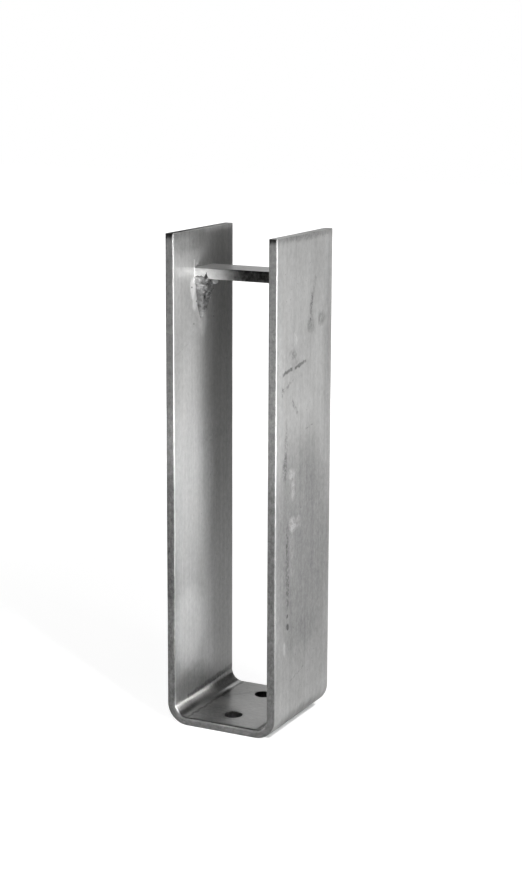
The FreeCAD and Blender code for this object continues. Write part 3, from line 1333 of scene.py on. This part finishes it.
# Each lamp: name, azimuth, ground distance, place above the floor, its own width and height, and its
# watts. The last one is a narrow beam that is aimed at the lower part of the left leg.
LAMPS = (
    Lamp("key_low", 60, 1.05, 0.09, 0.15, 0.17, 3.7),
    Lamp("key_middle", 60, 1.05, 0.26, 0.15, 0.17, 1.3),
    Lamp("key_high", 60, 1.05, 0.72, 0.15, 0.30, 1.9),
    Lamp("key_inner_low", 52, 1.05, 0.12, 0.11, 0.23, 1.9),
    Lamp("key_inner_high", 52, 1.05, 0.85, 0.11, 0.50, 2.9),
    Lamp("key_outer", 68, 1.05, 0.40, 0.14, 0.30, 3.6),
    Lamp("key_outer_high", 68, 1.05, 0.85, 0.14, 0.50, 1.4),
    Lamp("side_high", 80, 1.20, 1.30, 0.50, 0.60, 2.6),
    Lamp("front_fill", 38, 1.20, 0.60, 0.25, 0.60, 1.4),
    Lamp("back_high", 200, 1.80, 1.10, 0.60, 0.70, 1.8),
    Lamp("back_low", 200, 1.80, 0.30, 0.50, 0.60, 0.6),
    Lamp("back_middle", 180, 1.80, 0.30, 0.50, 0.60, 1.6),
    Lamp("back_left", 240, 1.60, 0.70, 0.80, 1.20, 3.0),
    Lamp("left_side", 272, 1.50, 0.60, 0.80, 1.20, 3.4),
    Lamp("gleam", 55, 0.62, 0.24, 0.05, 0.26, 0.11, 10.0, (-0.045, -0.036, 0.13)),
)


@dataclass(frozen=True)
class Studio:
    """Floor, world light and lamps."""

    lamps: tuple[Lamp, ...] = LAMPS
    world: float = 0.02
    spread: float = 6.0

    def floor(self) -> bpy.types.Object:
        """Lay a wide floor that the object stands on.

        Returns:
            The floor.
        """
        mesh = bmesh.new()
        bmesh.ops.create_grid(mesh, x_segments=8, y_segments=8, size=self.spread)
        made = make_object("studio_floor", mesh, 30.0)
        made.data.materials.append(StudioSurface("white_floor").material())
        return made

    def light_world(self) -> None:
        """Light the room evenly and show it white behind the object."""
        graph = Graph(bpy.data.worlds.new("room"))
        seen = graph.node("ShaderNodeLightPath", {}, {}, "Is Camera Ray")
        strength = graph.node("ShaderNodeMapRange", {}, {"Value": seen, "To Min": self.world, "To Max": 1.0})
        room = graph.node("ShaderNodeBackground", {}, {"Color": (1.0, 1.0, 1.0, 1.0), "Strength": strength})
        bpy.context.scene.world = graph.finish(room)

    def build(self) -> None:
        """Set the whole studio up."""
        low, high = CAD_BOX
        self.floor()
        self.light_world()
        for lamp in self.lamps:
            lamp.build((low + high) / 2)
            LOG.info("lamp %s: %.1f W", lamp.name, lamp.watts)


@dataclass(frozen=True)
class StudioCamera:
    """The camera, by where it stands round the object."""

    azimuth: float = 26.60
    elevation: float = 11.91
    roll: float = 0.26
    distance: float = 1.680
    aim: Triple = (0.00703, 0.00844, 0.25407)
    lens: float = 78.63

    def build(self) -> bpy.types.Object:
        """Set the camera up and make it the scene's camera.

        Returns:
            The camera.
        """
        data = bpy.data.cameras.new("camera")
        data.lens = self.lens
        data.sensor_width = 36.0
        made = show("camera", data)
        back = direction(self.azimuth, self.elevation)
        made.location = Vector(self.aim) + back * self.distance
        facing = back.to_track_quat("Z", "Y").to_matrix().to_4x4()
        turned = facing @ Matrix.Rotation(math.radians(self.roll), 4, "Z")
        made.rotation_euler = turned.to_euler()
        bpy.context.scene.camera = made
        return made


# ------------------------------------------------------------------ the build


def leg_marks(strap: Strap) -> tuple[ScratchOrPaintedStreak | SmudgeOrPaintedLight, ...]:
    """The marks that handling left on the outside of the right leg, with painted shade at its top end
    and on its outer bend.

    Args:
        strap: the strap, which turns heights into places along the bar.

    Returns:
        The marks, in millimetres across and along the bar.
    """
    at = partial(strap.mark_place, Side.RIGHT)
    return (
        # Broad darker areas, over the lower part of the leg and along its back edge.
        SmudgeOrPaintedLight(at(0, 165), (80, 125), -0.36, 0.2),
        SmudgeOrPaintedLight(at(0, 60), (80, 46), -0.12, 0.2),
        SmudgeOrPaintedLight(at(48, 330), (12, 110), -0.10, 0.3),
        # A scuff that runs down to two round press marks.
        ScratchOrPaintedStreak(at(20, 396), at(13, 376), 3.4, -0.22),
        ScratchOrPaintedStreak(at(13, 382), at(11, 363), 3.6, -0.40),
        SmudgeOrPaintedLight(at(11, 357), (9, 9), -0.34, 0.6),
        SmudgeOrPaintedLight(at(33, 360), (9, 9), -0.33, 0.6),
        # Short dark scratches, with speckled patches between them.
        ScratchOrPaintedStreak(at(-42, 321), at(-26, 324), 2.0, -0.58, 0.2),
        ScratchOrPaintedStreak(at(-18, 323), at(1, 327), 2.0, -0.54, 0.3),
        ScratchOrPaintedStreak(at(-43, 307), at(-23, 313), 2.0, -0.36),
        SmudgeOrPaintedLight(at(-22, 336), (9, 5), -0.28, 1.0),
        SmudgeOrPaintedLight(at(-43, 306), (4, 5), -0.30, 1.0),
        ScratchOrPaintedStreak(at(-24, 295), at(-14, 284), 2.6, -0.44),
        ScratchOrPaintedStreak(at(3, 267), at(17, 269), 1.0, -0.30),
        SmudgeOrPaintedLight(at(-36, 262), (4, 24), -0.30, 1.0),
        SmudgeOrPaintedLight(at(-38, 240), (6, 14), -0.34, 1.0),
        SmudgeOrPaintedLight(at(-31, 150), (5, 45), -0.32, 1.0),
        # Pale scuffs down the front part of the leg.
        SmudgeOrPaintedLight(at(-24, 232), (8, 6), 0.42, 1.0),
        SmudgeOrPaintedLight(at(-22, 218), (5, 12), 0.38, 1.0),
        SmudgeOrPaintedLight(at(-22, 187), (8, 9), 0.50, 1.0),
        SmudgeOrPaintedLight(at(-10, 187), (7, 7), 0.32, 1.0),
        SmudgeOrPaintedLight(at(-25, 160), (9, 30), 0.20, 1.0),
        SmudgeOrPaintedLight(at(-19, 348), (4, 8), 0.22),
        SmudgeOrPaintedLight(at(-16, 327), (7, 8), -0.14, 1.0),
        SmudgeOrPaintedLight(at(-37, 79), (4, 8), 0.34, 0.4),
        # Two dark dots and a hair line; painted shade at the top end of the leg, where the light falls off,
        # and over the floor's reflection on its outer bend.
        SmudgeOrPaintedLight(at(-30, 106), (2.6, 2.6), -0.50, 0.2),
        SmudgeOrPaintedLight(at(-30, 97), (3.0, 3.4), -0.55, 0.2),
        ScratchOrPaintedStreak(at(-24, 46), at(2, 52), 1.0, -0.26),
        SmudgeOrPaintedLight(at(0, 434), (60, 5), -0.22, 1.0),
        SmudgeOrPaintedLight((0, strap.flat_half / MM + 8), (80, 17), -0.50, 0.1),
    )


def inner_marks(strap: Strap) -> tuple[ScratchOrPaintedStreak | SmudgeOrPaintedLight, ...]:
    """The marks and the painted light and shade on the inside of the strap: round the left weld, in the
    left bend and on the base.

    Args:
        strap: the strap, which turns heights into places along the bar.

    Returns:
        The marks, in millimetres across and along the bar.
    """
    at = partial(strap.mark_place, Side.LEFT)
    bend_start, bend_end = strap.flat_half / MM, (strap.flat_half + strap.bend_run) / MM
    return (
        # Painted light and shade over the left leg: shade at its top, over its back part where the right
        # leg shades it, low down by the bend and over the highlight in the bend; light on its lit front.
        SmudgeOrPaintedLight(at(-30, 432), (40, 20), -0.34, 0.2),
        SmudgeOrPaintedLight(at(-30, 220), (34, 150), 0.14, 0.0),
        SmudgeOrPaintedLight(at(40, 240), (46, 290), -0.24, 0.1),
        SmudgeOrPaintedLight(at(-30, 84), (36, 46), 0.34, 0.0),
        SmudgeOrPaintedLight(at(-20, 26), (44, 24), -0.26, 0.2),
        SmudgeOrPaintedLight((-40, -bend_start - 11), (24, 10), -0.30, 0.2),
        # Painted reflection of the weld's front flank in the leg, in front of the weld and below it, a
        # painted bright line along the bar's front edge, and hair lines near it.
        SmudgeOrPaintedLight(at(-3, 354), (9, 16), 0.34, 0.2),
        SmudgeOrPaintedLight(at(-21, 386), (6, 11), 0.62, 0.1),
        SmudgeOrPaintedLight(at(-18, 374), (5, 11), 0.50, 0.1),
        ScratchOrPaintedStreak(at(-14, 366), at(-7, 352), 3.4, 0.10, 0.3),
        ScratchOrPaintedStreak(at(-18, 410), at(-18, 391), 0.9, 0.70, 0.0),
        ScratchOrPaintedStreak(at(-54, 330), at(-30, 338), 1.2, -0.14),
        SmudgeOrPaintedLight(at(10, 250), (40, 9), -0.08, 1.0),
        # Press lines and a darker patch in the bend; on the base, painted shade over its front-left part
        # and round the front hole, and two stains.
        ScratchOrPaintedStreak((-52, -bend_start + 1), (52, -bend_start + 1), 2.2, -0.42, 0.3),
        ScratchOrPaintedStreak((-30, -bend_end + 1), (54, -bend_end - 3), 3.6, -0.36, 0.3),
        SmudgeOrPaintedLight((30, -bend_end + 6), (34, 12), -0.30, 0.5),
        SmudgeOrPaintedLight((-34, -16), (30, 24), -0.34, 0.4),
        SmudgeOrPaintedLight((-30, 0), (14, 12), -0.30, 0.6),
        ScratchOrPaintedStreak((10, -30), (34, -8), 3.0, -0.20),
        ScratchOrPaintedStreak((-12, 8), (8, 22), 1.2, 0.16),
    )


def wall_painted_light(strap: Strap) -> tuple[ScratchOrPaintedStreak | SmudgeOrPaintedLight, ...]:
    """Painted light and shade on the walls: painted shade in the holes, painted light on the upper
    front edges of both legs, and painted shade lower on the left one.

    Args:
        strap: the strap, which turns heights into places along the bar.

    Returns:
        The marks, in millimetres across and along the bar.
    """
    upper, lower = strap.along_leg(390 * MM) / MM, strap.along_leg(165 * MM) / MM
    return (
        # Painted shade in the two holes.
        SmudgeOrPaintedLight((-30, 0), (15, 15), -0.75, 0.0),
        SmudgeOrPaintedLight((30, 0), (15, 15), -0.75, 0.0),
        # Painted light on the upper front edges of the legs, painted shade lower on the left one.
        SmudgeOrPaintedLight((-55, -upper), (12, 190), 0.22, 0.3),
        SmudgeOrPaintedLight((-55, upper), (12, 190), 0.27, 0.3),
        SmudgeOrPaintedLight((-55, -lower), (12, 70), -0.12, 0.3),
    )


def build_part() -> None:
    """Build the pieces of the post base with their finishes."""
    strap = Strap()
    strap_steel = MillSteel(
        "mill_steel",
        edge_face=strap.high.y,
        thickness=strap.thickness,
        inside_marks=inner_marks(strap),
        outside_marks=leg_marks(strap),
        wall_painted_light=wall_painted_light(strap),
    )
    # A lighter copy of the strap's steel: the extra lightness is painted light for the bright reflection on
    # the bar's top.
    bar_steel = MillSteel(
        "bar_steel",
        colour=(0.76, 0.76, 0.755),
        clouds=0.06,
        unevenness=2.0,
        # Painted shadow of the right leg over the right part of the bar's front face.
        outside_marks=(SmudgeOrPaintedLight((-17, 23), (3, 44), -0.86, 0.1),),
    )
    strap.build(strap_steel.material())
    CrossBar().build(bar_steel.material())
    weld_metal = WeldMetal("weld_metal").material()
    for side in Side:
        WeldHeap(side).build(weld_metal)


def main() -> None:
    """Build the part, the studio and the camera."""
    logging.basicConfig(level=logging.INFO, format="%(name)s %(message)s")
    build_part()
    Studio().build()
    StudioCamera().build()
    bpy.context.scene.view_settings.view_transform = "Standard"


if __name__ == "__main__":
    main()
